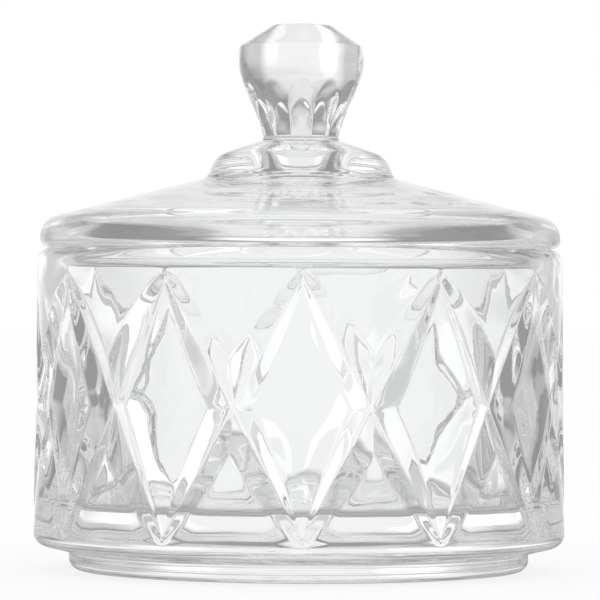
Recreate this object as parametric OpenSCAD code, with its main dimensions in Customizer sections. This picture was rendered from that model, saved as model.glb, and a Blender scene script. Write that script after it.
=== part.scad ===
// Round jar of clear pressed glass with a diamond-cut wall and a lift-off lid with a knob on a panelled neck.
// Lengths are in millimetres. +Z is up, the jar stands on Z = 0 and its axis is the Z axis.

/* [Jar] */
// Outside diameter of the wall at its widest, just above the foot
body_d = 120; // [112:1:130]
// Height from the table to the top of the rim
jar_h = 72.6; // [70:0.1:82]
// How far the rim stands in from the widest line of the wall
rim_inset = 0.7; // [0.3:0.1:1.2]
// Glass thickness of the wall at the mouth
wall_t = 4.1; // [3.8:0.1:4.8]
// Height from the table to the floor inside
floor_h = 14.5; // [12:0.5:18]
// Radius that the inside loses between its mouth and its floor
cavity_draft = 1.2; // [0.6:0.1:1.6]
// Rounding between the inside wall and the floor
cavity_round = 2.2; // [1.5:0.1:4]
// Rounding of the outer edge of the rim
shoulder_round = 2.9; // [2.2:0.1:3]
// Rounding of the inner edge of the rim
lip_round = 0.5; // [0.3:0.1:0.6]

/* [Foot] */
// How far the foot stands in from the wall
foot_inset = 8.1; // [6:0.1:12]
// Height of the foot
foot_h = 4.1; // [3:0.1:5]
// Rounding of the foot's lower edge
foot_round = 2.5; // [1.5:0.1:2.8]
// Width of the ring that the jar stands on
foot_ring_w = 8; // [5:0.5:14]
// Depth of the recess inside that ring
foot_recess = 1.2; // [0.6:0.1:2]
// Rise of the wall's underside from the foot outward
heel_rise = 1.3; // [0.8:0.1:2]
// Rounding of the wall's lower edge
heel_round = 3; // [2:0.1:4]

/* [Diamond cuts] */
// Number of diamonds round the wall
diamond_count = 12; // [12:1:16]
// Height of the lower points of the diamonds
diamond_low = 10.1; // [9.5:0.1:14]
// Height of the upper points of the diamonds
diamond_high = 65.8; // [60:0.1:66.5]
// Depth of a cut at the lower points of the diamonds
cut_low_depth = 0.2; // [0.15:0.01:0.4]
// Depth of a cut at the upper points of the diamonds
cut_high_depth = 0.35; // [0.2:0.01:0.6]
// Angle between the two sides of a cut
cut_angle = 130; // [115:1:145]
// Length that a cut runs on past the points
cut_run_out = 0.5; // [0.3:0.1:0.8]

/* [Lid] */
// How far the lid's edge stays inside the top of the wall
lid_inset = 0.55; // [0.3:0.05:2]
// Height of the lid's widest line above the rim
lid_edge_h = 2.3; // [2:0.1:3]
// Rounding of the lid's edge below its widest line
lid_edge_low_round = 2; // [1.4:0.1:2]
// Rounding of the lid's edge above its widest line
lid_edge_high_round = 5; // [3.5:0.1:6]
// Slope of the lid's top, in degrees
lid_slope = 14.4; // [11:0.1:18]
// Glass thickness of the lid's slope
lid_t = 4.7; // [3.5:0.1:6]
// Rounding of the outer corner of the hollow under the lid
lid_hollow_round = 3; // [1.5:0.5:4]
// Depth of the locating ring inside the mouth
ring_depth = 4.8; // [4:0.1:7]
// Glass thickness of the locating ring
ring_t = 3.6; // [3:0.1:4.5]
// Clearance all round between the locating ring and the mouth
ring_clearance = 1; // [0.6:0.1:1.5]

/* [Collar] */
// Diameter of the domed collar under the knob
collar_d = 41.4; // [38:0.2:46]
// Height of the middle of the collar's shoulder above the lid's slope
collar_edge_h = 0.1; // [0.1:0.1:1]
// Rounding of the collar's shoulder
collar_round = 5.9; // [5:0.1:6.5]
// Slope of the collar's top, in degrees
collar_slope = 18.5; // [15:0.5:22]
// Lean of the collar's side where its shoulder turns into the fillet at its foot, in degrees
collar_lean = 15; // [12:0.5:20]
// Radius of the bell-shaped hollow in the middle of the lid's underside
bell_r = 5.8; // [5:0.1:6.8]
// Glass thickness between that hollow and the knob's seat
bell_cover = 2.8; // [2.2:0.1:3.2]
// Rounding of the hollow's top edge
bell_top_round = 1.6; // [1:0.1:1.8]
// Rounding of the hollow's mouth
bell_lip_round = 6; // [4.5:0.1:6]

/* [Knob] */
// Diameter of the knob's girdle at its widest line
knob_d = 28.4; // [26:0.1:31]
// Width across the neck's flat panels at their foot
knob_foot_d = 16.6; // [15.6:0.1:17.4]
// Diameter that the round neck would have at its foot without the panels
knob_neck_d = 18.3; // [18:0.1:19.5]
// Height at which the panels run out into the round neck
knob_panel_h = 11; // [9:0.1:11.5]
// Diameter of the flat top
knob_top_d = 13.2; // [10:0.1:17]
// Diameter that the girdle loses toward the neck
knob_low_loss = 1.1; // [0.6:0.1:1.4]
// Diameter that the girdle loses toward the crown
knob_high_loss = 0.4; // [0.2:0.1:0.8]
// Height of the neck
knob_lower_h = 13.4; // [12:0.1:16]
// Height of the girdle
knob_middle_h = 7.3; // [5:0.1:9]
// Height of the sloping crown
knob_upper_h = 4.8; // [3:0.1:7]
// Thickness of the round disc under the knob
knob_disc_t = 0.8; // [0.6:0.1:1.5]
// Width of the collar's flat top left outside the disc
knob_disc_margin = 0.4; // [0.35:0.05:1]

/* [Hidden] */
// Fineness of round shapes
$fn = 96;
// Number of opposite pairs of panels round the knob's neck
knob_panel_pairs = 6;
// Extra length that makes a cut pass right through
pass = 1;

body_r = body_d / 2;
rim_r = body_r - rim_inset;
mouth_r = rim_r - wall_t;
floor_r = mouth_r - cavity_draft;
foot_r = body_r - foot_inset;
heel_top = foot_h + heel_rise + heel_round;
shoulder_low = jar_h - shoulder_round;

half_pitch = 180 / diamond_count;
diamond_mid = (diamond_low + diamond_high) / 2;
diamond_rise = diamond_high - diamond_low;
low_point_r = wall_r_at(diamond_low) - cut_low_depth;
high_point_r = wall_r_at(diamond_high) - cut_high_depth;
cut_mid_r = (low_point_r + high_point_r) / 2 * cos(half_pitch);
cut_sweep = (low_point_r + high_point_r) * sin(half_pitch);
cut_tilt = atan2(cut_sweep, diamond_rise);
cut_lean = atan2((low_point_r - high_point_r) * cos(half_pitch), diamond_rise);
cut_l = sqrt(cut_sweep * cut_sweep + diamond_rise * diamond_rise) + 2 * cut_run_out;
cut_reach = body_r - cut_mid_r + 2 * pass;

lid_r = rim_r - lid_inset;
ring_r = mouth_r - ring_clearance;
ring_in_r = ring_r - ring_t;
slope_rise = tan(lid_slope);
slope_r = lid_r - lid_edge_high_round * (1 - sin(lid_slope));
slope_z = jar_h + lid_edge_h + lid_edge_high_round * cos(lid_slope);
under_drop = lid_t / cos(lid_slope);
hollow_arc_r = ring_in_r - lid_hollow_round;
hollow_arc_z = slope_z_at(hollow_arc_r) - under_drop - lid_hollow_round / cos(lid_slope);

collar_r = collar_d / 2;
collar_z = slope_z_at(collar_r);
collar_arc_r = collar_r - collar_round;
collar_arc_z = collar_z + collar_edge_h;
collar_top_r = collar_arc_r + collar_round * sin(collar_slope);
collar_top_z = collar_arc_z + collar_round * cos(collar_slope);
collar_side_r = collar_arc_r + collar_round * cos(collar_lean);
collar_side_z = collar_arc_z + collar_round * sin(collar_lean);
fillet_turn = cos(lid_slope) - sin(collar_lean) - (cos(collar_lean) - sin(lid_slope)) * slope_rise;
fillet_round = (collar_side_z - slope_z_at(collar_side_r)) / fillet_turn;
fillet_r = collar_side_r + fillet_round * cos(collar_lean);
fillet_z = collar_side_z + fillet_round * sin(collar_lean);
fillet_reach = fillet_round + pass;

knob_foot_r = knob_foot_d / 2;
knob_low_r = (knob_d - knob_low_loss) / 2;
knob_high_r = (knob_d - knob_high_loss) / 2;
knob_disc_r = knob_foot_r + knob_disc_margin;
knob_seat_r = knob_disc_r + knob_disc_margin;
knob_seat_z = collar_top_z + (collar_top_r - knob_seat_r) * tan(collar_slope);
knob_low_z = knob_disc_t + knob_lower_h;
knob_high_z = knob_low_z + knob_middle_h;
knob_h = knob_high_z + knob_upper_h;
knob_neck_r = knob_neck_d / 2;
knob_panel_top_r = knob_neck_r + (knob_low_r - knob_neck_r) * knob_panel_h / knob_lower_h;
knob_panel_rise = (knob_panel_top_r - knob_foot_r) / knob_panel_h;
knob_panel_end_r = knob_foot_r + knob_panel_rise * (knob_h - knob_disc_t);
bell_top_z = knob_seat_z - bell_cover;
bell_lip_r = bell_r + bell_lip_round;
bell_end_r = bell_lip_r - bell_lip_round * sin(lid_slope);
bell_end_z = slope_z_at(bell_end_r) - under_drop;
bell_lip_z = bell_end_z + bell_lip_round * cos(lid_slope);

// Radius of the plain wall at height z
function wall_r_at(z) = body_r - rim_inset * (z - heel_top) / (shoulder_low - heel_top);

// Height of the lid's sloping top at radius r
function slope_z_at(r) = slope_z + (slope_r - r) * slope_rise;

// Half section of the jar's outside, foot and wall together
module jar_outline() {
    square([foot_r - foot_round, foot_h]);
    translate([0, foot_round])
        square([foot_r, foot_h - foot_round + pass / 2]);
    translate([foot_r - foot_round, foot_round])
        circle(foot_round);
    polygon([
        [0, foot_h],
        [foot_r, foot_h],
        [body_r - heel_round, foot_h + heel_rise],
        [body_r, heel_top],
        [rim_r, shoulder_low],
        [rim_r - shoulder_round, jar_h],
        [0, jar_h]
    ]);
    translate([body_r - heel_round, heel_top])
        circle(heel_round);
    translate([rim_r - shoulder_round, shoulder_low])
        circle(shoulder_round);
}

// Half section of the room inside the jar
module cavity_outline() {
    polygon([
        [0, floor_h],
        [floor_r - cavity_round, floor_h],
        [floor_r, floor_h + cavity_round],
        [mouth_r, jar_h - lip_round],
        [mouth_r, jar_h + pass],
        [0, jar_h + pass]
    ]);
    translate([floor_r - cavity_round, floor_h + cavity_round])
        circle(cavity_round);
    difference() {
        translate([mouth_r - pass, jar_h - lip_round])
            square([lip_round + pass, lip_round + pass]);
        translate([mouth_r + lip_round, jar_h - lip_round])
            circle(lip_round);
    }
}

// One straight V cut from the upper point of a diamond to the lower point of the next one
module diamond_cut() {
    translate([cut_mid_r, 0, diamond_mid])
        rotate([0, -cut_lean, 0])
            rotate([cut_tilt, 0, 0])
                linear_extrude(height = cut_l, center = true)
                    polygon([
                        [0, 0],
                        [cut_reach, cut_reach * tan(cut_angle / 2)],
                        [cut_reach, -cut_reach * tan(cut_angle / 2)]
                    ]);
}

// Jar with its foot, thick base, plain inside and diamond-cut wall
module jar_body() {
    color([0.86, 0.92, 0.93])
        difference() {
            rotate_extrude()
                difference() {
                    jar_outline();
                    cavity_outline();
                    square([foot_r - foot_ring_w, foot_recess]);
                }
            for (i = [0 : diamond_count - 1])
                rotate([0, 0, (2 * i + 1) * half_pitch]) {
                    diamond_cut();
                    mirror([0, 1, 0])
                        diamond_cut();
                }
        }
}

// Half section of the lid's outside with its locating ring
module lid_outline() {
    polygon([
        [0, jar_h],
        [lid_r - lid_edge_low_round, jar_h],
        [lid_r, jar_h + lid_edge_low_round],
        [lid_r, jar_h + lid_edge_h],
        [slope_r, slope_z],
        [collar_r, collar_z],
        [0, collar_z]
    ]);
    translate([lid_r - lid_edge_low_round, jar_h + lid_edge_low_round])
        circle(lid_edge_low_round);
    intersection() {
        translate([lid_r - lid_edge_high_round, jar_h + lid_edge_h])
            circle(lid_edge_high_round);
        translate([0, jar_h + lid_edge_h])
            square([lid_r, lid_edge_high_round]);
    }
    translate([ring_in_r, jar_h - ring_depth + ring_t / 2])
        square([ring_t, ring_depth - ring_t / 2 + pass]);
    translate([ring_in_r + ring_t / 2, jar_h - ring_depth + ring_t / 2])
        circle(ring_t / 2);
}

// Half section of the bell-shaped hollow in the middle of the lid's underside
module bell_outline() {
    difference() {
        polygon([
            [0, bell_end_z],
            [bell_end_r, bell_end_z],
            [bell_lip_r, bell_lip_z],
            [0, bell_lip_z]
        ]);
        translate([bell_lip_r, bell_lip_z])
            circle(bell_lip_round);
    }
    translate([0, bell_end_z])
        square([bell_r, bell_top_z - bell_top_round - bell_end_z]);
    translate([0, bell_end_z])
        square([bell_r - bell_top_round, bell_top_z - bell_end_z]);
    translate([bell_r - bell_top_round, bell_top_z - bell_top_round])
        circle(bell_top_round);
}

// Half section of the hollow under the lid
module lid_hollow_outline() {
    polygon([
        [0, jar_h - ring_depth - pass],
        [ring_in_r, jar_h - ring_depth - pass],
        [ring_in_r, hollow_arc_z],
        [hollow_arc_r + lid_hollow_round * sin(lid_slope), hollow_arc_z + lid_hollow_round * cos(lid_slope)],
        [0, slope_z_at(0) - under_drop]
    ]);
    translate([hollow_arc_r, hollow_arc_z])
        circle(lid_hollow_round);
    bell_outline();
}

// Half section of the domed collar with the glass that its fillet is cut from
module collar_outline() {
    polygon([
        [0, collar_z - pass],
        [fillet_r - fillet_reach * sin(lid_slope), fillet_z - fillet_reach * cos(lid_slope)],
        [fillet_r, fillet_z],
        [collar_arc_r, collar_arc_z],
        [collar_top_r, collar_top_z],
        [knob_seat_r, knob_seat_z],
        [0, knob_seat_z]
    ]);
    intersection() {
        translate([collar_arc_r, collar_arc_z])
            circle(collar_round);
        translate([0, collar_arc_z])
            square([collar_r, collar_round]);
    }
}

// Lid with its rounded edge, locating ring and collar
module lid_cover() {
    color([0.84, 0.91, 0.93])
        rotate_extrude()
            difference() {
                union() {
                    lid_outline();
                    collar_outline();
                }
                lid_hollow_outline();
                translate([fillet_r, fillet_z])
                    circle(fillet_round);
            }
}

// Half section of the knob above its disc
module knob_outline() {
    polygon([
        [0, knob_disc_t],
        [knob_neck_r, knob_disc_t],
        [knob_low_r, knob_low_z],
        [knob_d / 2, (knob_low_z + knob_high_z) / 2],
        [knob_high_r, knob_high_z],
        [knob_top_d / 2, knob_h],
        [0, knob_h]
    ]);
}

// Room between one opposite pair of the neck's panels, seen along them
module knob_panel_outline() {
    polygon([
        [-knob_foot_r, knob_disc_t],
        [knob_foot_r, knob_disc_t],
        [knob_panel_end_r, knob_h],
        [-knob_panel_end_r, knob_h]
    ]);
}

// Round knob with a panelled neck on its thin disc
module lid_knob() {
    color([0.9, 0.94, 0.95])
        translate([0, 0, knob_seat_z]) {
            cylinder(h = knob_disc_t, r = knob_disc_r);
            intersection() {
                rotate_extrude()
                    knob_outline();
                intersection_for(i = [0 : knob_panel_pairs - 1])
                    rotate([0, 0, i * 180 / knob_panel_pairs])
                        rotate([90, 0, 0])
                            linear_extrude(height = 2 * knob_d, center = true)
                                knob_panel_outline();
            }
        }
}

jar_body();
lid_cover();
lid_knob();
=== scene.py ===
import logging
import math
from dataclasses import dataclass, field
from enum import Enum

import bpy
import numpy as np
from mathutils import Euler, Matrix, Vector


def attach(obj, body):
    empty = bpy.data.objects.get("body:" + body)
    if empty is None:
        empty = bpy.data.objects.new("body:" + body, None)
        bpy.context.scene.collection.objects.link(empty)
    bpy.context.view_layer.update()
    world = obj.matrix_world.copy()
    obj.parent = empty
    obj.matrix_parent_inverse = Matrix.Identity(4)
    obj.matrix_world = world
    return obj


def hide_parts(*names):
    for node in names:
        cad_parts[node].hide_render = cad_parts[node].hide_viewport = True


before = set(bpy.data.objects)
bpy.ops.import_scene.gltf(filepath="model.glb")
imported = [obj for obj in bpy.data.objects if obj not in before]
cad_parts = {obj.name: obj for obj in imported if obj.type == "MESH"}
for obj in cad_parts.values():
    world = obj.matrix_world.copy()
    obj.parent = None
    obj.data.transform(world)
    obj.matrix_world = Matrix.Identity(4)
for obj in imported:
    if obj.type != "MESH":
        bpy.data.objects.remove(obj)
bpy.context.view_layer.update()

MM = 0.001
CORNER_POINTS = 7
LOG = logging.getLogger("lidded_jar")
Socket = bpy.types.NodeSocket


class Body(Enum):
    """The two rigid bodies of the jar."""

    JAR = "jar"
    LID = "lid"


def smooth_min(a: np.ndarray, b: np.ndarray, width: float) -> np.ndarray:
    """Lesser of two surfaces with a rounded edge where they cross.

    The edge is rounded where they differ by less than the width: the lesser value is lowered by
    a quarter of the width times the square of how close they are.

    Args:
        a: First surface.
        b: Second surface.
        width: Difference below which the edge is rounded, in the unit of the surfaces.

    Returns:
        The blended surface.
    """
    near = np.clip(1.0 - np.abs(a - b) / width, 0.0, 1.0)
    return np.minimum(a, b) - near * near * width * 0.25


def smooth_max(a: np.ndarray, b: np.ndarray, width: float) -> np.ndarray:
    """Greater of two surfaces with a rounded valley where they cross.

    Args:
        a: First surface.
        b: Second surface.
        width: Difference below which the valley is rounded.

    Returns:
        The blended surface.
    """
    return -smooth_min(-a, -b, width)


def smooth_step(x: np.ndarray, low: float, high: float) -> np.ndarray:
    """Rise from 0 at low to 1 at high along a cubic with level ends.

    Args:
        x: Values to map.
        low: Value that maps to 0.
        high: Value that maps to 1.

    Returns:
        The mapped values.
    """
    t = np.clip((x - low) / (high - low), 0.0, 1.0)
    return t * t * (3.0 - 2.0 * t)


def arc(r: float, z: float, radius: float, start: float, end: float, count: int) -> np.ndarray:
    """Points of a circular arc in the half section.

    Args:
        r: Centre's distance from the axis.
        z: Centre's height.
        radius: Radius of the arc.
        start: Angle of the first point in degrees, from outward toward up.
        end: Angle of the last point in degrees.
        count: Number of points.

    Returns:
        An array of (r, z) rows.
    """
    a = np.radians(np.linspace(start, end, count))
    return np.column_stack([r + radius * np.cos(a), z + radius * np.sin(a)])


def line(r0: float, z0: float, r1: float, z1: float, count: int) -> np.ndarray:
    """Evenly spaced points of a straight line in the half section, ends left out.

    Args:
        r0: Start's distance from the axis.
        z0: Start's height.
        r1: End's distance from the axis.
        z1: End's height.
        count: Number of inner points.

    Returns:
        An array of (r, z) rows.
    """
    t = np.linspace(0.0, 1.0, count + 2)[1:-1]
    return np.column_stack([r0 + (r1 - r0) * t, z0 + (z1 - z0) * t])


def soften(corners: np.ndarray, reaches: tuple[float, ...], spacing: float) -> np.ndarray:
    """Round each inner corner of a line by a short curve that starts a reach before it.

    The curve is the quadratic one whose control point is the corner. Straight runs are filled
    evenly.

    Args:
        corners: Array of (r, z) corners.
        reaches: For each inner corner, the distance at which its curve starts and ends.
        spacing: Greatest distance between points of a straight run.

    Returns:
        The rounded line's points.
    """
    t = np.linspace(0.0, 1.0, CORNER_POINTS)[:, None]
    parts = [corners[:1]]
    for before, here, after, reach in zip(corners[:-2], corners[1:-1], corners[2:], reaches):
        start = here + (before - here) * reach / np.linalg.norm(before - here)
        end = here + (after - here) * reach / np.linalg.norm(after - here)
        last = parts[-1][-1]
        parts.append(line(*last, *start, int(np.linalg.norm(start - last) / spacing)))
        parts.append((1.0 - t) ** 2 * start + 2.0 * t * (1.0 - t) * here + t ** 2 * end)
    last = parts[-1][-1]
    parts.append(line(*last, *corners[-1], int(np.linalg.norm(corners[-1] - last) / spacing)))
    return np.vstack(parts)


def closed_grid(name: str, rings: np.ndarray, first_z: float, last_z: float) -> bpy.types.Object:
    """Closed mesh from rings of points that run round the axis, with a pole at each end.

    Each ring is joined to the next by four-sided faces, and each pole, a point of the axis, to its
    ring by triangles.

    Args:
        name: Name of the piece.
        rings: Array of rings by columns by three, in metres, ordered so that faces point outward.
        first_z: Height of the pole before the first ring, in millimetres.
        last_z: Height of the pole after the last ring, in millimetres.

    Returns:
        The new object, linked to the scene.
    """
    rows, cols = rings.shape[:2]
    poles = np.array([[0.0, 0.0, first_z * MM], [0.0, 0.0, last_z * MM]])
    points = np.vstack([rings.reshape(-1, 3), poles])
    here = np.arange(cols)
    there = np.roll(here, -1)
    base = (np.arange(rows - 1) * cols)[:, None]
    quads = np.stack([base + here, base + there, base + cols + there, base + cols + here], axis=-1)
    top = (rows - 1) * cols
    low_fan = np.column_stack([there, here, np.full(cols, rows * cols)])
    high_fan = np.column_stack([top + here, top + there, np.full(cols, rows * cols + 1)])
    corners = np.concatenate([quads.ravel(), low_fan.ravel(), high_fan.ravel()])
    sizes = np.concatenate([np.full((rows - 1) * cols, 4), np.full(2 * cols, 3)])
    starts = np.concatenate([[0], np.cumsum(sizes)[:-1]])
    mesh = bpy.data.meshes.new(name)
    mesh.vertices.add(len(points))
    mesh.vertices.foreach_set("co", points.astype(np.float32).ravel())
    mesh.loops.add(len(corners))
    mesh.loops.foreach_set("vertex_index", corners.astype(np.int32))
    mesh.polygons.add(len(sizes))
    mesh.polygons.foreach_set("loop_start", starts.astype(np.int32))
    mesh.polygons.foreach_set("use_smooth", np.ones(len(sizes), dtype=bool))
    mesh.update(calc_edges=True)
    mesh.validate()
    piece = bpy.data.objects.new(name, mesh)
    bpy.context.scene.collection.objects.link(piece)
    return piece


def ring_points(radius: np.ndarray, height: np.ndarray, angle: np.ndarray) -> np.ndarray:
    """Points on rings about the axis.

    Each is at the radius times the cosine and sine of the angle, and at the height.

    Args:
        radius: Distance from the axis, in millimetres.
        height: Height, in millimetres.
        angle: Angle about the axis, in radians.

    Returns:
        The points, in metres.
    """
    x, y = radius * np.cos(angle), radius * np.sin(angle)
    return np.stack([x, y, np.broadcast_to(height, x.shape)], axis=-1) * MM


@dataclass(frozen=True)
class Wave:
    """One sine wave on a surface of revolution, which runs round the axis and along the section."""

    height: float
    turns: int
    length: float
    phase: float

    def at(self, angle: np.ndarray, place: np.ndarray) -> np.ndarray:
        """Height of the wave at an angle about the axis and a place along the half section."""
        along = 2.0 * math.pi * place / self.length
        return self.height * np.sin(self.turns * angle + along + self.phase)


def ripple(waves: tuple[Wave, ...], angle: np.ndarray, place: np.ndarray) -> np.ndarray:
    """Sum of the waves, as the slow ripple that pressing leaves in glass.

    Args:
        waves: The waves.
        angle: Angle about the axis, in radians.
        place: Place along the half section, in millimetres.

    Returns:
        The ripple's height, in millimetres.
    """
    return sum(wave.at(angle, place) for wave in waves)


class Wiring:
    """Adds nodes to a node tree and links them."""

    def __init__(self, tree: bpy.types.NodeTree) -> None:
        """Keep the tree that the nodes go into."""
        self.nodes, self.links = tree.nodes, tree.links

    def feed(self, socket: Socket, value: Socket | float | tuple[float, ...]) -> None:
        """Link a socket, or set it to a plain value."""
        if isinstance(value, Socket):
            self.links.new(value, socket)
        else:
            socket.default_value = value

    def math(self, operation: str, *values: Socket | float) -> Socket:
        """Add a maths node.

        Args:
            operation: Name of the operation.
            values: Its inputs.

        Returns:
            The node's output.
        """
        node = self.nodes.new("ShaderNodeMath")
        node.operation = operation
        for socket, value in zip(node.inputs, values):
            self.feed(socket, value)
        return node.outputs[0]

    def vector(self, operation: str, *values: Socket | tuple[float, ...]) -> bpy.types.Node:
        """Add a vector maths node.

        Args:
            operation: Name of the operation.
            values: Its inputs.

        Returns:
            The node.
        """
        node = self.nodes.new("ShaderNodeVectorMath")
        node.operation = operation
        for socket, value in zip(node.inputs, values):
            self.feed(socket, value)
        return node

    def ease(self, value: Socket, low: float, high: float) -> Socket:
        """Add a node that eases from 0 at low to 1 at high.

        Args:
            value: The value to map.
            low: Value that maps to 0.
            high: Value that maps to 1.

        Returns:
            The node's output.
        """
        node = self.nodes.new("ShaderNodeMapRange")
        node.interpolation_type = "SMOOTHSTEP"
        self.feed(node.inputs["Value"], value)
        self.feed(node.inputs["From Min"], low)
        self.feed(node.inputs["From Max"], high)
        return node.outputs["Result"]

    def mix_shader(self, factor: Socket, first: Socket, second: Socket) -> Socket:
        """Add a node that mixes two shaders.

        Args:
            factor: Share of the second shader.
            first: First shader.
            second: Second shader.

        Returns:
            The node's output.
        """
        node = self.nodes.new("ShaderNodeMixShader")
        for socket, value in zip(node.inputs, (factor, first, second)):
            self.feed(socket, value)
        return node.outputs[0]


@dataclass(frozen=True)
class ClearGlass:
    """Clear pressed glass with a fire-polished skin that waves a little."""

    name: str = "clear_pressed_glass"
    tint: tuple[float, float, float] = (0.985, 0.99, 0.99)
    index: float = 1.5
    wave_size: float = 9.0
    wave_height: float = 0.00002

    def material(self) -> bpy.types.Material:
        """Build the glass material.

        Returns:
            A material whose waviness reads Object coordinates.
        """
        material = bpy.data.materials.new(self.name)
        material.use_nodes = True
        nodes, links = material.node_tree.nodes, material.node_tree.links
        glass = nodes["Principled BSDF"]
        glass.inputs["Base Color"].default_value = (*self.tint, 1.0)
        glass.inputs["Roughness"].default_value = 0.0
        glass.inputs["IOR"].default_value = self.index
        glass.inputs["Transmission Weight"].default_value = 1.0
        place = nodes.new("ShaderNodeTexCoord")
        wave = nodes.new("ShaderNodeTexNoise")
        wave.inputs["Scale"].default_value = 1.0 / (self.wave_size * MM)
        wave.inputs["Detail"].default_value = 1.0
        bump = nodes.new("ShaderNodeBump")
        bump.inputs["Strength"].default_value = 1.0
        bump.inputs["Distance"].default_value = self.wave_height
        links.new(place.outputs["Object"], wave.inputs["Vector"])
        links.new(wave.outputs["Fac"], bump.inputs["Height"])
        links.new(bump.outputs["Normal"], glass.inputs["Normal"])
        return material


@dataclass
class DiamondCuts:
    """Straight V cuts that run both ways round the wall and leave upright diamonds between them."""

    count: int = 12
    low: float = 10.1
    high: float = 65.8
    low_depth: float = 0.2
    high_depth: float = 0.35
    angle: float = 130.0
    edge_soft: float = 0.2
    valley_soft: float = 0.15
    columns: tuple[int, int, int, int] = (5, 6, 7, 5)
    least_zone: float = 0.15

    def __post_init__(self) -> None:
        """Work out the angles that every cut shares."""
        self.half_pitch = math.pi / self.count
        self.mid = (self.low + self.high) / 2.0
        self.rise = self.high - self.low
        self.slope = 1.0 / math.tan(math.radians(self.angle) / 2.0)

    def settle(self, low_r: float, high_r: float) -> None:
        """Set the cuts on a wall of these radii at the diamonds' points.

        Args:
            low_r: Wall radius at the lower points.
            high_r: Wall radius at the upper points.
        """
        low_r -= self.low_depth
        high_r -= self.high_depth
        self.mid_r = (low_r + high_r) / 2.0 * math.cos(self.half_pitch)
        self.lean = (low_r - high_r) * math.cos(self.half_pitch) / self.rise
        self.tilt = math.atan2((low_r + high_r) * math.sin(self.half_pitch), self.rise)

    def cut(self, turn: np.ndarray, climb: np.ndarray, way: float) -> np.ndarray:
        """Radius of one cut's two flat sides.

        Each side is a plane through the cut's bottom line. Along a ray from the axis, its radius
        is the plane's offset over the cosine of the turn, less or plus the sine times its slope.

        Args:
            turn: Angle from the crossing, in radians.
            climb: Height above the crossing.
            way: 1 for a cut that climbs one way round, -1 for the other way.

        Returns:
            Radius of the cut's surface, with a rounded valley.
        """
        side = self.slope * climb * way * math.sin(self.tilt)
        reach = self.mid_r - self.lean * climb
        across = self.slope * math.cos(self.tilt) * np.sin(turn)
        a = (reach + side) / (np.cos(turn) - across)
        b = (reach - side) / (np.cos(turn) + across)
        return smooth_max(a, b, self.valley_soft)

    def radius(self, angle: np.ndarray, z: np.ndarray, wall: np.ndarray) -> np.ndarray:
        """Radius of the wall with every cut taken from it.

        Args:
            angle: Angle from the nearest diamond's middle line, in radians, not negative.
            z: Height.
            wall: Radius of the plain wall.

        Returns:
            The radius, with rounded edges. A cut ends where its planes leave the wall, just past
            the diamonds' points.
        """
        climb = z - self.mid
        out = wall
        for turn in (angle - self.half_pitch, angle + self.half_pitch):
            for way in (1.0, -1.0):
                out = smooth_min(out, self.cut(turn, climb, way), self.edge_soft)
        return out

    def column_angles(self, z: np.ndarray, wall: np.ndarray) -> np.ndarray:
        """Angles of the grid's columns from a diamond's middle line to the next crossing.

        In each row the columns gather at the diamond's edge, at the bottom of the cut and at the
        cut's far edge, so the grid follows the edges.

        Args:
            z: Heights of the rows.
            wall: Plain wall radius of each row.

        Returns:
            Array of rows by columns, in radians, from 0 up to and with half the pitch.
        """
        climb = np.abs(z - self.mid)
        reach = self.mid_r - self.lean * (z - self.mid)
        side = self.slope * climb * math.sin(self.tilt)
        across = self.slope * math.cos(self.tilt)
        lean = math.atan(across)
        full = wall * math.hypot(1.0, across)
        valley = self.half_pitch - np.arctan(climb * math.tan(self.tilt) / reach)
        near = self.half_pitch + lean - np.arccos(np.clip((reach - side) / full, -1.0, 1.0))
        far = self.half_pitch - lean + np.arccos(np.clip((reach + side) / full, -1.0, 1.0))
        least = math.radians(self.least_zone)
        stops = [np.zeros_like(z), near, valley, far, np.full_like(z, self.half_pitch)]
        for i in (1, 2, 3):
            stops[i] = np.maximum(stops[i], stops[i - 1] + least)
        for i in (3, 2, 1):
            stops[i] = np.minimum(stops[i], stops[i + 1] - least)
        zones = []
        for i, count in enumerate(self.columns):
            t = 0.5 - 0.5 * np.cos(np.pi * np.arange(count) / count)
            zones.append(stops[i][:, None] + (stops[i + 1] - stops[i])[:, None] * t[None, :])
        return np.hstack([*zones, stops[4][:, None]])


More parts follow.
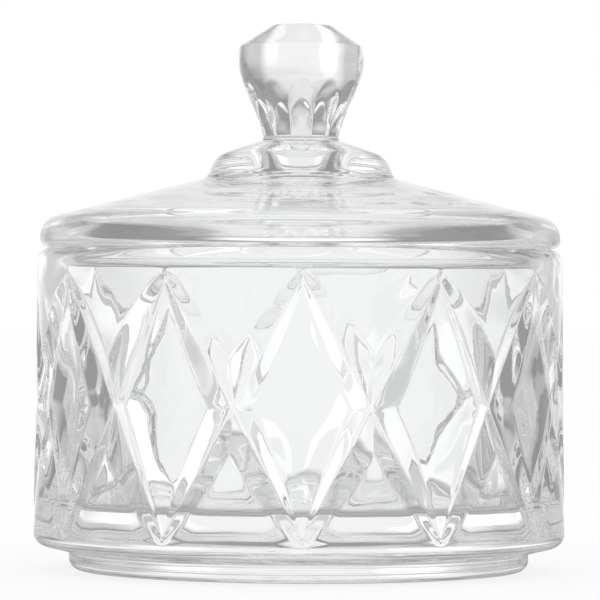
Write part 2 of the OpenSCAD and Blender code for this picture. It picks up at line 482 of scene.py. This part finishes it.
@dataclass
class JarBody:
    """The round jar: foot, thick base, diamond-cut wall and plain inside, in millimetres.

    The rim stays a twentieth of a millimetre below the lid's seat, so the two glass surfaces never
    coincide.
    """

    body_r: float = 60.0
    rim_r: float = 59.3
    height: float = 72.55
    mouth_r: float = 55.2
    floor_r: float = 54.0
    floor_h: float = 14.5
    floor_round: float = 2.2
    shoulder: float = 2.9
    lip: float = 0.5
    foot_r: float = 51.9
    foot_h: float = 4.1
    foot_round: float = 2.5
    foot_corner: tuple[tuple[float, float], ...] = ((0.05, -0.15), (0.35, 0.06))
    ring_w: float = 8.0
    recess: float = 1.2
    recess_round: float = 0.6
    heel_rise: float = 1.3
    heel_round: float = 3.0
    heel_arc: tuple[float, float] = (-78.0, -8.0)
    shoulder_arc: float = 8.0
    wall_rows: int = 80
    cuts: DiamondCuts = field(default_factory=DiamondCuts)
    ripple_start: tuple[float, float] = (1.0, 8.0)
    waves: tuple[Wave, ...] = (
        Wave(0.15, 7, 38.0, 0.3),
        Wave(0.12, -11, 26.0, 1.9),
        Wave(0.09, 5, 17.0, 4.0),
        Wave(0.06, -3, 10.0, 0.8),
    )

    @property
    def heel_top(self) -> float:
        """Height at which the heel's rounding meets the wall."""
        return self.foot_h + self.heel_rise + self.heel_round

    @property
    def wall_top(self) -> float:
        """Height at which the wall meets the rounding of the rim."""
        return self.height - self.shoulder

    def wall_radius(self, z: np.ndarray) -> np.ndarray:
        """Plain wall radius, which falls evenly from the heel to the shoulder."""
        climb = (z - self.heel_top) / (self.wall_top - self.heel_top)
        return self.body_r - (self.body_r - self.rim_r) * climb

    def underside(self) -> np.ndarray:
        """Half section of the underside, from the axis out to the heel.

        Returns:
            An array of (r, z) rows.
        """
        heel_c = self.body_r - self.heel_round
        foot_in = self.foot_r - self.foot_round
        corner = np.array(self.foot_corner) + (self.foot_r, self.foot_h)
        ring_in = self.foot_r - self.ring_w
        soft = self.recess_round
        return np.vstack([
            line(0.0, self.recess, ring_in - soft, self.recess, 4),
            arc(ring_in - soft, self.recess - soft, soft, 90.0, 0.0, 4),
            arc(ring_in + soft, soft, soft, 180.0, 270.0, 4),
            line(ring_in + soft, 0.0, foot_in, 0.0, 2),
            arc(foot_in, self.foot_round, self.foot_round, -90.0, 0.0, 9),
            line(self.foot_r, self.foot_round, self.foot_r, self.foot_h, 2),
            corner,
            line(*corner[-1], heel_c, self.foot_h + self.heel_rise, 3),
            arc(heel_c, self.heel_top, self.heel_round, *self.heel_arc, 9),
        ])

    def wall(self) -> np.ndarray:
        """Half section of the plain wall, from the heel up to the shoulder, as (r, z) rows."""
        z = np.linspace(self.heel_top, self.wall_top, self.wall_rows)
        return np.column_stack([self.wall_radius(z), z])

    def inside(self) -> np.ndarray:
        """Half section of the rim and the inside, from the shoulder back to the axis.

        Returns:
            An array of (r, z) rows.
        """
        corner_r, corner_z = self.floor_r - self.floor_round, self.floor_h + self.floor_round
        rim_c = self.rim_r - self.shoulder
        return np.vstack([
            arc(rim_c, self.wall_top, self.shoulder, self.shoulder_arc, 90.0, 9),
            arc(self.mouth_r + self.lip, self.height - self.lip, self.lip, 90.0, 180.0, 5),
            line(self.mouth_r, self.height - self.lip, self.floor_r, corner_z, 22),
            arc(corner_r, corner_z, self.floor_round, 0.0, -90.0, 10),
            line(corner_r, self.floor_h, 0.0, self.floor_h, 7),
        ])

    def build(self) -> bpy.types.Object:
        """Build the jar as one closed surface of angle and place along the half section.

        One half of a diamond's sector is worked out, mirrored and repeated round the axis. The
        ripple moves the inside wall along the radius and the floor along the height.

        Returns:
            The jar's object.
        """
        self.cuts.settle(float(self.wall_radius(np.float64(self.cuts.low))),
                         float(self.wall_radius(np.float64(self.cuts.high))))
        under, wall, inside = self.underside(), self.wall(), self.inside()
        section = np.vstack([under, wall, inside])
        r, z = section[:, 0], section[:, 1]
        row_z = np.concatenate([
            np.full(len(under), wall[0, 1]), wall[:, 1], np.full(len(inside), wall[-1, 1])])
        plain = self.wall_radius(row_z)
        half = self.cuts.column_angles(row_z, plain)
        cut_r = self.cuts.radius(half, row_z[:, None], plain[:, None])
        on_wall = np.zeros(len(section), dtype=bool)
        on_wall[len(under):len(under) + len(wall)] = True
        radius = np.where(on_wall[:, None], cut_r, r[:, None])
        sector_angle = np.hstack([half[:, :-1], 2.0 * self.cuts.half_pitch - half[:, :0:-1]])
        sector_radius = np.hstack([radius[:, :-1], radius[:, :0:-1]])
        starts = np.arange(self.cuts.count) * 2.0 * self.cuts.half_pitch
        angle = (sector_angle[:, None, :] + starts[None, :, None]).reshape(len(section), -1)
        radius = np.tile(sector_radius, (1, self.cuts.count))
        shift = ripple(self.waves, angle, z[:, None])
        in_room = np.zeros(len(section))
        in_room[len(under) + len(wall):] = smooth_step(
            self.height - inside[:, 1], *self.ripple_start)
        upright = in_room * smooth_step(r, self.floor_r - self.floor_round, self.floor_r)
        level = in_room * smooth_step(-r, self.floor_round - self.floor_r, 0.0)
        rings = ring_points(
            radius + shift * upright[:, None], z[:, None] + shift * level[:, None], angle)
        return closed_grid("jar_glass", rings, self.recess, self.floor_h)

    def dress(self, piece: bpy.types.Object, glass: bpy.types.Material) -> None:
        """Give the jar its glass and let it ride in place of its solid."""
        piece.data.materials.append(glass)
        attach(piece, Body.JAR.value)
        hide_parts("jar_body")


@dataclass
class Knob:
    """The round knob with its crown, girdle, panelled neck and thin disc, in millimetres."""

    wide_r: float = 14.2
    low_r: float = 13.65
    high_r: float = 14.0
    neck_r: float = 9.15
    foot_r: float = 8.3
    top_r: float = 6.6
    lower_h: float = 13.4
    middle_h: float = 7.3
    upper_h: float = 4.8
    disc_t: float = 0.8
    disc_margin: float = 0.4
    disc_soft: float = 0.1
    disc_low: float = 0.25
    disc_high: float = 0.2
    wide_h: float = 17.9
    panels: int = 12
    panel_h: float = 11.0
    panel_soft: float = 0.12
    scoop: float = 0.45
    scoop_loss: float = 0.4
    scoop_rise: tuple[float, float] = (0.5, 4.0)
    head_h: float = 13.4
    head_fall: float = 3.0
    head_soft: float = 0.6
    girdle_soft: float = 0.4
    edge_soft: float = 0.35
    crown_soft: float = 0.315
    side_rows: int = 46
    top_spacing: float = 0.6
    ripple_start: float = 3.0
    waves: tuple[Wave, ...] = (
        Wave(0.08, 5, 11.0, 0.7),
        Wave(0.07, -7, 15.0, 2.9),
        Wave(0.06, 3, 7.5, 5.1),
        Wave(0.05, -2, 19.0, 1.4),
    )

    def section(self, seat: float) -> np.ndarray:
        """Half section of the round shape above the disc, from the neck's foot to the top's middle.

        The girdle's radius falls with the square of the distance from its widest line, down to the
        top of the neck. The lesser of that and the neck's even cone is the outline below the crown.

        Args:
            seat: Height that the disc stands on.

        Returns:
            An array of (r, z) rows.
        """
        low = seat + self.disc_t
        crown = low + self.lower_h + self.middle_h
        top = crown + self.upper_h
        z = np.linspace(low, crown - self.edge_soft, self.side_rows)
        cone = self.neck_r + (self.low_r - self.neck_r) * (z - low) / self.lower_h
        bulge = (self.wide_r - self.high_r) / (crown - low - self.wide_h) ** 2
        off = np.maximum(z - low, self.lower_h) - self.wide_h
        r = smooth_min(cone, self.wide_r - bulge * off * off, self.girdle_soft)
        corners = np.array([[r[-1], z[-1]], [self.high_r, crown], [self.top_r, top], [0.0, top]])
        top_line = soften(corners, (self.crown_soft, self.edge_soft), self.top_spacing)
        return np.vstack([np.column_stack([r, z])[:-1], top_line])

    @property
    def sink(self) -> float:
        """Depth that the ripple is sunk by, half of the sum of its waves' heights."""
        return sum(wave.height for wave in self.waves) / 2.0

    def panel(self, angle: np.ndarray, rise: np.ndarray) -> np.ndarray:
        """Radius of the neck's panels.

        A panel's distance from the axis grows evenly with height. Its radius along a ray from the
        axis is that distance over the cosine of the angle from the panel's middle. A shallow scoop
        is taken from it, which eases in above the foot and ends under an arched head. The head
        falls, and the scoop loses depth, with the square of the way from the panel's middle to its
        side.

        Args:
            angle: Angle about the axis, in radians.
            rise: Height above the foot of the neck.

        Returns:
            The radius.
        """
        top_r = self.neck_r + (self.low_r - self.neck_r) * self.panel_h / self.lower_h
        pitch = 2.0 * math.pi / self.panels
        off = (angle + pitch / 2.0) % pitch - pitch / 2.0
        flat = (self.foot_r + (top_r - self.foot_r) * rise / self.panel_h) / np.cos(off)
        side = (2.0 * off / pitch) ** 2
        head = self.head_h - self.head_fall * side
        under_head = 1.0 - smooth_step(rise - head, -self.head_fall, self.head_soft)
        depth = self.scoop * (1.0 - self.scoop_loss * side)
        return flat - depth * under_head * smooth_step(rise, *self.scoop_rise)

    def rows(self, seat: float, angle: np.ndarray) -> tuple[np.ndarray, np.ndarray]:
        """Radius and height of the knob's rings, disc first.

        The neck, girdle and crown carry the pressing's ripple, sunk a little below the plain shape.

        Args:
            seat: Height that the disc stands on.
            angle: Angles of the columns, in radians.

        Returns:
            Radii of rows by columns, and the rows' heights.
        """
        section = self.section(seat)
        low = seat + self.disc_t
        r, z = section[:, :1], section[:, 1:]
        disc = self.foot_r + self.disc_margin
        edge = np.array([
            [disc - self.disc_soft, seat + self.disc_soft],
            [disc, seat + self.disc_low],
            [disc, low - self.disc_high],
            [disc - self.disc_soft, low],
        ])
        flat = self.panel(angle[None, :], z - low)
        neck = smooth_min(np.repeat(r, len(angle), axis=1), flat, self.panel_soft)
        share = smooth_step(z, low, low + self.ripple_start) * smooth_step(r, 0.0, self.top_r)
        neck = neck + (ripple(self.waves, angle[None, :], z) - self.sink) * share
        radius = np.vstack([np.repeat(edge[:, :1], len(angle), axis=1), neck])
        return radius, np.concatenate([edge[:, 1], section[:, 1]])


@dataclass
class Lid:
    """The lift-off lid with its locating ring, collar and knob, in millimetres.

    A skip is what one run of the half section leaves out at its start, so that it doesn't repeat
    the point where the run before it ends.
    """

    seat_z: float = 72.6
    seat_round: float = 0.5
    edge_r: float = 58.75
    edge_h: float = 2.3
    low_round: float = 2.0
    high_round: float = 5.0
    slope: float = 14.4
    thick: float = 4.7
    hollow_round: float = 6.0
    hollow_rows: int = 44
    corner_skip: float = 6.0
    roof_skip: float = 0.4
    ring_r: float = 54.2
    ring_t: float = 3.6
    ring_depth: float = 4.8
    collar_r: float = 20.7
    collar_edge: float = 0.1
    collar_round: float = 5.9
    collar_slope: float = 18.5
    collar_lean: float = 15.0
    shoulder_skip: float = 3.0
    bell_r: float = 5.8
    bell_cover: float = 2.8
    bell_top_round: float = 1.6
    bell_lip_round: float = 6.0
    columns: int = 336
    knob: Knob = field(default_factory=Knob)
    ripple_start: tuple[float, float] = (12.0, 20.0)
    ripple_end: float = 44.0
    waves: tuple[Wave, ...] = (
        Wave(0.025, 0, 8.5, 0.4),
        Wave(0.025, 2, 11.0, 2.0),
        Wave(0.03, -3, 14.0, 4.4),
    )

    @property
    def slope_r(self) -> float:
        """Radius at which the rounded edge meets the slope."""
        return self.edge_r - self.high_round * (1.0 - math.sin(math.radians(self.slope)))

    def slope_z(self, r: np.ndarray) -> np.ndarray:
        """Height of the sloping top at a radius."""
        t = math.radians(self.slope)
        start_z = self.seat_z + self.edge_h + self.high_round * math.cos(t)
        return start_z + (self.slope_r - r) * math.tan(t)

    def under_z(self, r: np.ndarray) -> np.ndarray:
        """Height of the sloping roof of the hollow at a radius."""
        return self.slope_z(r) - self.thick / math.cos(math.radians(self.slope))

    @property
    def shoulder_z(self) -> float:
        """Height of the middle of the collar's shoulder."""
        return float(self.slope_z(self.collar_r)) + self.collar_edge

    def fillet(self) -> tuple[float, float, float]:
        """Centre and radius of the fillet between the collar's shoulder and the lid's slope.

        It touches both: it leaves the shoulder at its lean and meets the slope level with it.

        Returns:
            The centre's distance from the axis, its height, and the radius.
        """
        t, lean = math.radians(self.slope), math.radians(self.collar_lean)
        side_r = self.collar_r - self.collar_round * (1.0 - math.cos(lean))
        side_z = self.shoulder_z + self.collar_round * math.sin(lean)
        turn = math.cos(t) - math.sin(lean) - (math.cos(lean) - math.sin(t)) * math.tan(t)
        radius = (side_z - float(self.slope_z(side_r))) / turn
        return side_r + radius * math.cos(lean), side_z + radius * math.sin(lean), radius

    def collar_section(self) -> np.ndarray:
        """Half section of the collar, from the fillet at its foot to the seat of the knob.

        Returns:
            An array of (r, z) rows, the last one at the seat.
        """
        fillet_r, fillet_z, fillet_round = self.fillet()
        middle_r, middle_z = self.collar_r - self.collar_round, self.shoulder_z
        start = self.collar_lean + self.shoulder_skip
        s = math.radians(self.collar_slope)
        top_r = middle_r + self.collar_round * math.sin(s)
        top_z = middle_z + self.collar_round * math.cos(s)
        seat_r = self.knob.foot_r + 2.0 * self.knob.disc_margin
        seat = top_z + (top_r - seat_r) * math.tan(s)
        return np.vstack([
            arc(fillet_r, fillet_z, fillet_round, 270.0 - self.slope, 180.0 + self.collar_lean, 14),
            arc(middle_r, middle_z, self.collar_round, start, 90.0 - self.collar_slope, 16),
            line(top_r, top_z, seat_r, seat, 4),
            [[seat_r, seat]],
        ])

    def hollow_section(self, seat: float) -> np.ndarray:
        """Half section of the hollow's roof, from the axis down its bell and out to its corner.

        Args:
            seat: Height of the knob's seat.

        Returns:
            An array of (r, z) rows.
        """
        t = math.radians(self.slope)
        top, lip = seat - self.bell_cover, self.bell_lip_round
        lip_end = self.bell_r + lip * (1.0 - math.sin(t))
        lip_z = float(self.under_z(lip_end)) + lip * math.cos(t)
        end = self.ring_r - self.ring_t - self.hollow_round * (1.0 - math.sin(t))
        inner, corner = self.bell_r - self.bell_top_round, top - self.bell_top_round
        r = np.linspace(lip_end + self.roof_skip, end, self.hollow_rows)
        return np.vstack([
            line(0.0, top, inner, top, 5),
            arc(inner, corner, self.bell_top_round, 90.0, 0.0, 8),
            arc(self.bell_r + lip, lip_z, lip, 180.0, 270.0 - self.slope, 14),
            np.column_stack([r, self.under_z(r)]),
        ])

    def edge_section(self) -> np.ndarray:
        """Half section from the hollow's corner, round the ring and the lid's edge, up the slope.

        Returns:
            An array of (r, z) rows.
        """
        t = math.radians(self.slope)
        ring_in, half_t = self.ring_r - self.ring_t, self.ring_t / 2.0
        arc_r = ring_in - self.hollow_round
        arc_z = self.slope_z(arc_r) - (self.thick + self.hollow_round) / math.cos(t)
        bottom = self.seat_z - self.ring_depth + half_t
        seat_round, seat_low = self.seat_round, self.seat_z - self.seat_round
        low_r, high_r = self.edge_r - self.low_round, self.edge_r - self.high_round
        wide_z = self.seat_z + self.edge_h
        fillet_r, _, fillet_round = self.fillet()
        end_r = fillet_r - fillet_round * math.sin(t)
        return np.vstack([
            arc(arc_r, arc_z, self.hollow_round, 90.0 - self.slope - self.corner_skip, 0.0, 14),
            line(ring_in, arc_z, ring_in, bottom, 4),
            arc(ring_in + half_t, bottom, half_t, 180.0, 360.0, 13),
            line(self.ring_r, bottom, self.ring_r, seat_low, 2),
            arc(self.ring_r + seat_round, seat_low, seat_round, 180.0, 90.0, 4),
            arc(low_r, self.seat_z + self.low_round, self.low_round, -90.0, 0.0, 9),
            arc(high_r, wide_z, self.high_round, 0.0, 90.0 - self.slope, 14),
            line(self.slope_r, self.slope_z(self.slope_r), end_r, self.slope_z(end_r), 12),
        ])

    def build(self) -> bpy.types.Object:
        """Build the lid, collar and knob as one closed surface.

        It is a surface of angle and place along the half section. The ripple moves the roof of the
        hollow along the height.

        Returns:
            The lid's object.
        """
        angle = np.arange(self.columns) * 2.0 * math.pi / self.columns
        collar = self.collar_section()
        seat = float(collar[-1, 1])
        hollow = self.hollow_section(seat)
        section = np.vstack([hollow, self.edge_section(), collar])
        knob_r, knob_z = self.knob.rows(seat, angle)
        radius = np.vstack([np.repeat(section[:, :1], self.columns, axis=1), knob_r])
        height = np.concatenate([section[:, 1], knob_z])
        roof_r = hollow[:, 0]
        share = np.zeros(len(height))
        share[:len(hollow)] = (smooth_step(roof_r, *self.ripple_start)
                               * smooth_step(-roof_r, -roof_r[-1], -self.ripple_end))
        place = np.concatenate([section[:, 0], np.zeros(len(knob_z))])
        shift = ripple(self.waves, angle[None, :], place[:, None]) * share[:, None]
        rings = ring_points(radius, height[:, None] + shift, angle[None, :])
        return closed_grid("lid_glass", rings, float(hollow[0, 1]), float(knob_z[-1]))

    def dress(self, piece: bpy.types.Object, glass: bpy.types.Material) -> None:
        """Give the lid its glass and let it ride in place of its two solids."""
        piece.data.materials.append(glass)
        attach(piece, Body.LID.value)
        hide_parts("lid_cover", "lid_knob")


@dataclass(frozen=True)
class SoftBox:
    """A soft light as the object sees it: where it is, how far it spreads and its tone.

    Angles are in degrees. The azimuth is from straight behind the object toward its right.
    """

    azimuth: float
    elevation: float
    half_width: float
    half_height: float
    blur_width: float
    blur_height: float
    tone: float

    def wire(self, wiring: Wiring, level: Socket, rise: Socket) -> Socket:
        """Add the nodes that give the light's tone in a direction.

        Args:
            wiring: Wiring of the tree.
            level: The direction seen from above, as a unit vector.
            rise: The direction's elevation, in radians.

        Returns:
            The tone, eased off over the blur at each edge.
        """
        turn = math.radians(self.azimuth)
        middle = (math.sin(turn), math.cos(turn), 0.0)
        ahead = wiring.vector("DOT_PRODUCT", level, middle).outputs["Value"]
        aside = wiring.math("ARCCOSINE", ahead)
        above = wiring.math("ABSOLUTE", wiring.math("SUBTRACT", rise, math.radians(self.elevation)))
        spread = wiring.ease(aside, math.radians(self.half_width + self.blur_width),
                             math.radians(self.half_width - self.blur_width))
        height = wiring.ease(above, math.radians(self.half_height + self.blur_height),
                             math.radians(self.half_height - self.blur_height))
        return wiring.math("MULTIPLY", wiring.math("MULTIPLY", spread, height), self.tone)


@dataclass
class Studio:
    """Pale floor, soft light and the camera."""

    camera_distance: float = 0.98
    camera_height: float = 0.0634
    aim_height: float = 0.0609
    turn: float = 0.6
    roll: float = 0.3
    lens: float = 259.8
    sensor: float = 36.0
    view_end: float = 50.0
    floor_half: float = 6.0
    floor_drop: float = 0.0002
    floor_paint: tuple[float, float, float] = (0.98, 0.98, 0.98)
    floor_glow: float = 0.85
    # Painted shadow under the jar: in the glass the floor's glow falls to this tone, easing off
    # between these radii in metres.
    painted_shadow_tone: float = 0.33
    painted_shadow_reach: tuple[float, float] = (0.046, 0.1)
    ambient: float = 0.29
    bounces: int = 96
    glass_bounces: int = 64
    boxes: tuple[SoftBox, ...] = (
        SoftBox(-4.0, 0.0, 60.0, 18.0, 12.0, 12.0, 0.62),
        SoftBox(-2.0, 0.0, 36.0, 22.0, 14.0, 14.0, 0.9),
        SoftBox(0.0, 0.0, 12.0, 42.0, 9.0, 14.0, 0.8),
        SoftBox(-19.0, 0.0, 11.0, 17.0, 9.0, 12.0, 1.2),
        SoftBox(19.0, 0.0, 11.0, 17.0, 9.0, 12.0, 1.05),
        SoftBox(180.0, 0.0, 80.0, 34.0, 20.0, 14.0, 1.05),
        SoftBox(180.0, 45.0, 60.0, 18.0, 20.0, 10.0, 0.75),
        SoftBox(0.0, 90.0, 360.0, 26.0, 1.0, 10.0, 1.1),
    )

    def surround(self) -> bpy.types.NodeTree:
        """Group that gives the tone of the studio in a direction, the brightest of its soft lights.

        Returns:
            A node group with a Direction input and a Tone output.
        """
        group = bpy.data.node_groups.new("studio_surround", "ShaderNodeTree")
        group.interface.new_socket("Direction", in_out="INPUT", socket_type="NodeSocketVector")
        group.interface.new_socket("Tone", in_out="OUTPUT", socket_type="NodeSocketFloat")
        wiring = Wiring(group)
        take, give = group.nodes.new("NodeGroupInput"), group.nodes.new("NodeGroupOutput")
        unit = wiring.vector("NORMALIZE", take.outputs["Direction"]).outputs["Vector"]
        flat = wiring.vector("MULTIPLY", unit, (1.0, 1.0, 0.0)).outputs["Vector"]
        level = wiring.vector("NORMALIZE", flat).outputs["Vector"]
        up = wiring.vector("DOT_PRODUCT", unit, (0.0, 0.0, 1.0)).outputs["Value"]
        rise = wiring.math("ARCSINE", up)
        tone: Socket | float = self.ambient
        for box in self.boxes:
            tone = wiring.math("MAXIMUM", box.wire(wiring, level, rise), tone)
        group.links.new(tone, give.inputs["Tone"])
        return group

    def tone_at(self, wiring: Wiring, surround: bpy.types.NodeTree, direction: Socket) -> Socket:
        """Add the surround's group to a tree.

        Args:
            wiring: Wiring of the tree.
            surround: The group.
            direction: The direction to look in.

        Returns:
            The studio's tone in that direction.
        """
        node = wiring.nodes.new("ShaderNodeGroup")
        node.node_tree = surround
        wiring.feed(node.inputs["Direction"], direction)
        return node.outputs["Tone"]

    def floor(self, surround: bpy.types.NodeTree) -> None:
        """Lay a pale floor that keeps the object's shadow, and in the glass glows with painted
        light.

        Args:
            surround: Group of the studio's tone, which the floor's glow copies as painted light.
        """
        half = self.floor_half
        corners = [(-half, -half, 0.0), (half, -half, 0.0), (half, half, 0.0), (-half, half, 0.0)]
        mesh = bpy.data.meshes.new("floor")
        mesh.from_pydata(corners, [], [(0, 1, 2, 3)])
        floor = bpy.data.objects.new("floor", mesh)
        bpy.context.scene.collection.objects.link(floor)
        floor.location.z = -self.floor_drop
        material = bpy.data.materials.new("floor_white")
        material.use_nodes = True
        wiring = Wiring(material.node_tree)
        plain = wiring.nodes["Principled BSDF"]
        plain.inputs["Base Color"].default_value = (*self.floor_paint, 1.0)
        plain.inputs["Roughness"].default_value = 1.0
        plain.inputs["Specular IOR Level"].default_value = 0.0
        place = wiring.nodes.new("ShaderNodeTexCoord").outputs["Object"]
        path = wiring.nodes.new("ShaderNodeLightPath").outputs
        camera = path["Is Camera Ray"]
        # Painted shadow: the glow is darker near the jar. Away from it the glow shows the studio's
        # tone as painted light.
        far = wiring.ease(wiring.vector("LENGTH", place).outputs["Value"], *self.painted_shadow_reach)
        near = wiring.math("MULTIPLY", wiring.math("SUBTRACT", 1.0, far), self.painted_shadow_tone)
        tone = wiring.math("MULTIPLY_ADD", self.tone_at(wiring, surround, place), far, near)
        glow = wiring.nodes.new("ShaderNodeEmission")
        unseen = wiring.math("SUBTRACT", 1.0, camera)
        wiring.feed(glow.inputs["Strength"], wiring.math("MULTIPLY_ADD", tone, unseen, camera))
        # Glossy and transmission rays see only the glow, so the floor in the glass is all painted
        # light and painted shadow.
        in_glass = wiring.math("MAXIMUM", path["Is Glossy Ray"], path["Is Transmission Ray"])
        seen = wiring.math("MULTIPLY_ADD", camera, self.floor_glow, in_glass)
        surface = wiring.mix_shader(seen, plain.outputs[0], glow.outputs[0])
        wiring.feed(wiring.nodes["Material Output"].inputs["Surface"], surface)
        floor.data.materials.append(material)

    def light(self, surround: bpy.types.NodeTree) -> None:
        """Light the scene from the studio's tones, with white behind the object and on the floor.

        Args:
            surround: Group that gives the studio's tone in a direction.
        """
        world = bpy.data.worlds.new("studio")
        bpy.context.scene.world = world
        world.use_nodes = True
        wiring = Wiring(world.node_tree)
        walls = wiring.nodes["Background"]
        place = wiring.nodes.new("ShaderNodeTexCoord").outputs["Generated"]
        path = wiring.nodes.new("ShaderNodeLightPath").outputs
        white = wiring.math("MAXIMUM", path["Is Camera Ray"], path["Is Diffuse Ray"])
        tone = self.tone_at(wiring, surround, place)
        kept = wiring.math("MULTIPLY", tone, wiring.math("SUBTRACT", 1.0, white))
        walls.inputs["Color"].default_value = (1.0, 1.0, 1.0, 1.0)
        wiring.feed(walls.inputs["Strength"], wiring.math("ADD", white, kept))

    def camera(self) -> None:
        """Place the camera at the photograph's distance, height and lens."""
        data = bpy.data.cameras.new("camera")
        camera = bpy.data.objects.new("camera", data)
        bpy.context.scene.collection.objects.link(camera)
        bpy.context.scene.camera = camera
        data.lens = self.lens
        data.sensor_width = self.sensor
        data.clip_end = self.view_end
        turn = math.radians(self.turn)
        spot = Vector((-math.sin(turn), -math.cos(turn), 0.0)) * self.camera_distance
        spot.z = self.camera_height
        camera.location = spot
        look = (Vector((0.0, 0.0, self.aim_height)) - spot).to_track_quat("-Z", "Y")
        roll = Euler((0.0, 0.0, math.radians(self.roll))).to_quaternion()
        camera.rotation_mode = "QUATERNION"
        camera.rotation_quaternion = look @ roll

    def set_up(self) -> None:
        """Make the floor, light and camera and choose how the picture is read."""
        surround = self.surround()
        self.floor(surround)
        self.light(surround)
        self.camera()
        scene = bpy.context.scene
        scene.view_settings.view_transform = "Standard"
        scene.cycles.max_bounces = self.bounces
        scene.cycles.glossy_bounces = self.glass_bounces
        scene.cycles.transmission_bounces = self.glass_bounces


def main() -> None:
    """Build the jar and the lid, dress them, and set up the studio."""
    logging.basicConfig(level=logging.INFO, format="%(name)s: %(message)s")
    glass = ClearGlass().material()
    for part in (JarBody(), Lid()):
        piece = part.build()
        part.dress(piece, glass)
        LOG.info("%s: %d faces", piece.name, len(piece.data.polygons))
    Studio().set_up()


if __name__ == "__main__":
    main()
